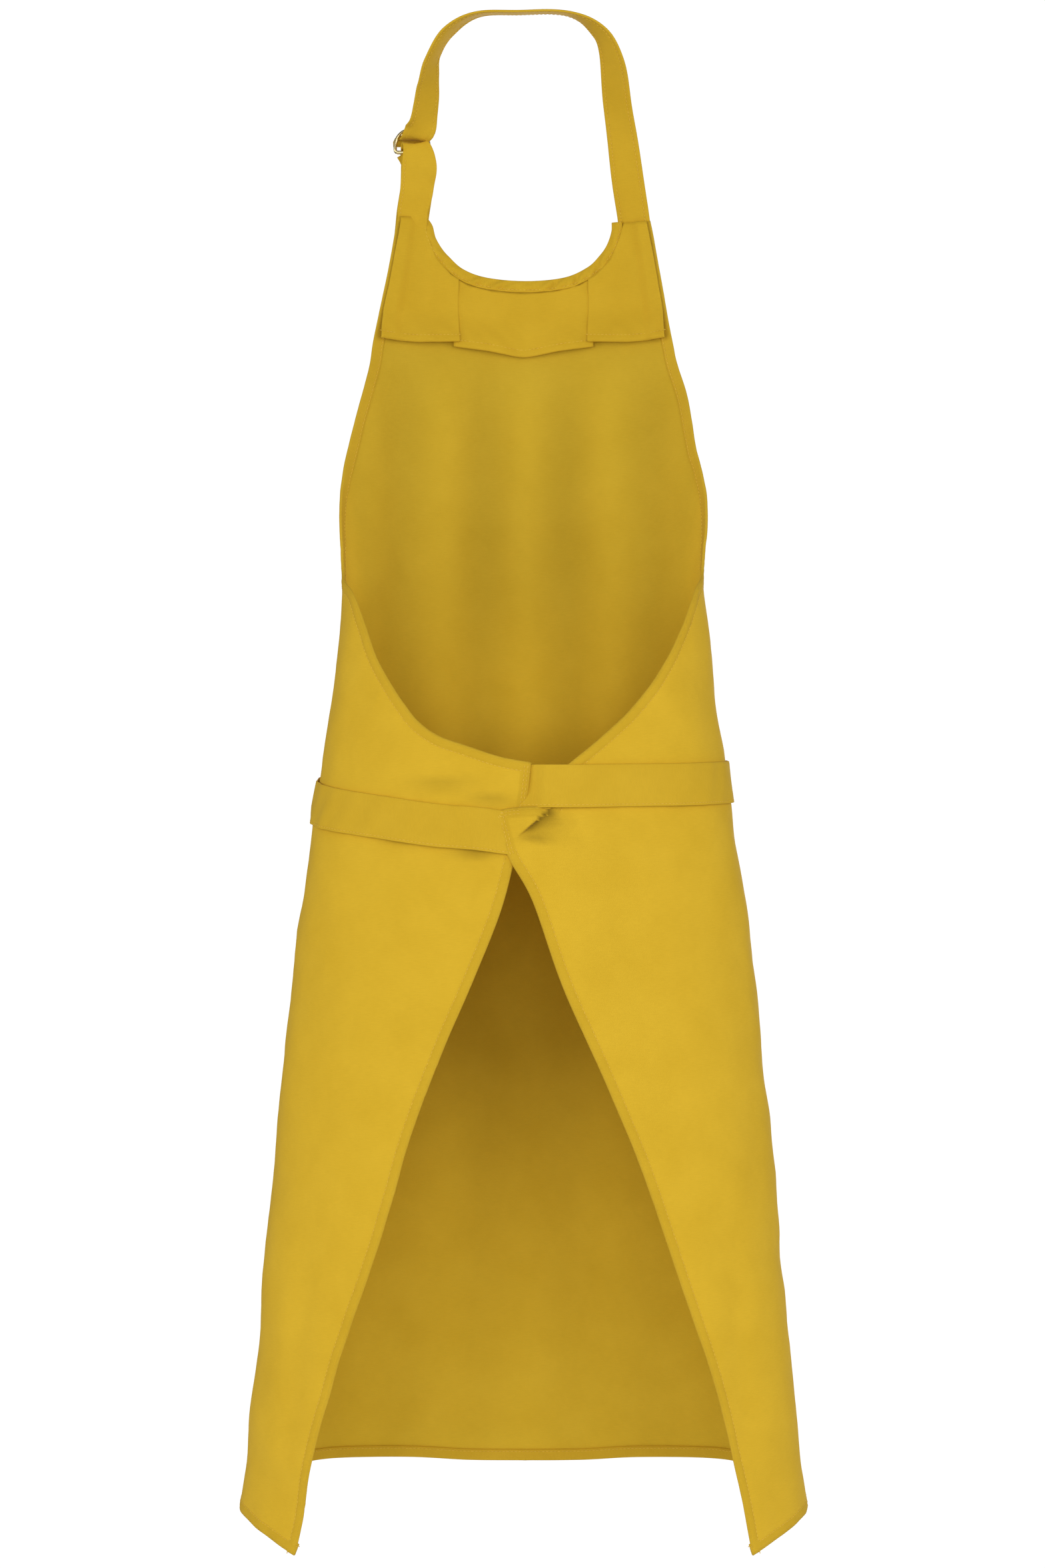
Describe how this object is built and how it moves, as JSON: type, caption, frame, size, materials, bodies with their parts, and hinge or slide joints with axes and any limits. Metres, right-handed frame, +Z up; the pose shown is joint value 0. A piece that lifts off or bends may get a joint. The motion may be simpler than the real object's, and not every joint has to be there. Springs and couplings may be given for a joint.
{
  "type": "bib apron",
  "caption": "Cotton bib apron in its worn shape, with wrap-round back wings, crossed waist ties tied in front and a ring-adjusted neck strap.",
  "frame": {"origin": "the inside of the neck strap's top, where the apron hangs from a neck or a peg", "axes": "+Z up; +Y the way the wearer faces, so the open back and its crossed wings face -Y; +X the wearer's right"},
  "size_m": [0.4114, 0.2357, 1.103],
  "materials": {
    "cotton_twill": "matt cotton twill",
    "strap_cotton": "matt cotton twill, folded and topstitched",
    "ring_metal": "polished pale gold plating"
  },
  "bodies": {
    "apron": {"front_panel": "cotton_twill", "left_wing": "cotton_twill", "right_wing": "cotton_twill", "left_armhole_hem": "cotton_twill", "right_armhole_hem": "cotton_twill", "left_slit_hem": "cotton_twill", "right_slit_hem": "cotton_twill", "front_hem": "cotton_twill", "left_wing_hem": "cotton_twill", "right_wing_hem": "cotton_twill", "facing_centre": "cotton_twill", "facing_left": "cotton_twill", "facing_right": "cotton_twill", "neck_band": "cotton_twill", "neck_strap": "strap_cotton", "ring_tab": "strap_cotton", "left_tie": "strap_cotton", "right_tie": "strap_cotton", "bow_knot": "strap_cotton"},
    "rear_ring": {"rear_ring": "ring_metal"},
    "front_ring": {"front_ring": "ring_metal"},
    "strap_tail": {"strap_tail": "strap_cotton"},
    "left_bow_loop": {"left_bow_loop": "strap_cotton"},
    "right_bow_loop": {"right_bow_loop": "strap_cotton"},
    "left_tie_tail": {"left_tie_tail": "strap_cotton"},
    "right_tie_tail": {"right_tie_tail": "strap_cotton"}
  },
  "joints": [
    {"name": "rear_ring_tilt", "type": "hinge", "parent": "apron", "child": "rear_ring", "pos_m": [-0.083, 0.0645, -0.089], "axis": [1, 0, 0], "range_deg": [0, 8]},
    {"name": "front_ring_tilt", "type": "hinge", "parent": "apron", "child": "front_ring", "pos_m": [-0.083, 0.0675, -0.089], "axis": [1, 0, 0], "range_deg": [0, 11]},
    {"name": "strap_tail_swing", "type": "hinge", "parent": "apron", "child": "strap_tail", "pos_m": [-0.0835, 0.0746, -0.0865], "axis": [1, 0, 0], "range_deg": [0, 75]},
    {"name": "left_bow_loop_lift", "type": "hinge", "parent": "apron", "child": "left_bow_loop", "pos_m": [-0.0182, 0.1015, -0.552], "axis": [0, 1, 0], "range_deg": [0, 50]},
    {"name": "right_bow_loop_lift", "type": "hinge", "parent": "apron", "child": "right_bow_loop", "pos_m": [0.0182, 0.1015, -0.552], "axis": [0, -1, 0], "range_deg": [0, 50]},
    {"name": "left_tie_tail_swing", "type": "hinge", "parent": "apron", "child": "left_tie_tail", "pos_m": [-0.009, 0.1015, -0.5658], "axis": [1, 0, 0], "range_deg": [0, 70]},
    {"name": "right_tie_tail_swing", "type": "hinge", "parent": "apron", "child": "right_tie_tail", "pos_m": [0.009, 0.1015, -0.5658], "axis": [1, 0, 0], "range_deg": [0, 70]}
  ]
}
